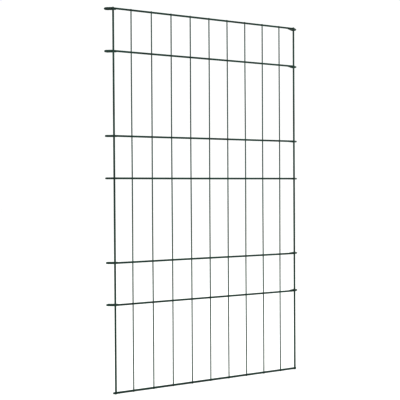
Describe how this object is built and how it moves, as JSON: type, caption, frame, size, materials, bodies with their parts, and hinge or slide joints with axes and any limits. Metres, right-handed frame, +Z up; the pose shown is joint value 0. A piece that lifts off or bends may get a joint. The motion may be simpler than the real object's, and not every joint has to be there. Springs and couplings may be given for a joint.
{
  "type": "wire panel gate",
  "caption": "Upright welded wire fence panel with close and wide rails, thick edge uprights, thin uprights between them and drop-shaped rod eyes at both sides.",
  "frame": {"origin": "middle of the footprint, level with the lowest ends of the uprights", "axes": "+Z up along the uprights, +X along the rails, +Y to the back, where the rod eyes stand"},
  "size_m": [0.4732, 0.0208, 0.7936],
  "materials": {
    "coated_wire": "dark green powder coat, satin",
    "coated_weld": "dark green powder coat pooled over resistance welds, satin"
  },
  "bodies": {
    "root": {"bottom_rail": "coated_wire", "rail_2": "coated_wire", "rail_3": "coated_wire", "rail_4": "coated_wire", "rail_5": "coated_wire", "rail_6": "coated_wire", "top_rail": "coated_wire", "left_edge_upright": "coated_wire", "right_edge_upright": "coated_wire", "upright_1": "coated_wire", "upright_2": "coated_wire", "upright_3": "coated_wire", "upright_4": "coated_wire", "upright_5": "coated_wire", "upright_6": "coated_wire", "upright_7": "coated_wire", "upright_8": "coated_wire", "upright_9": "coated_wire", "weld_row_1": "coated_weld", "weld_row_2": "coated_weld", "weld_row_3": "coated_weld", "weld_row_4": "coated_weld", "weld_row_5": "coated_weld", "weld_row_6": "coated_weld", "weld_row_7": "coated_weld"}
  },
  "joints": []
}
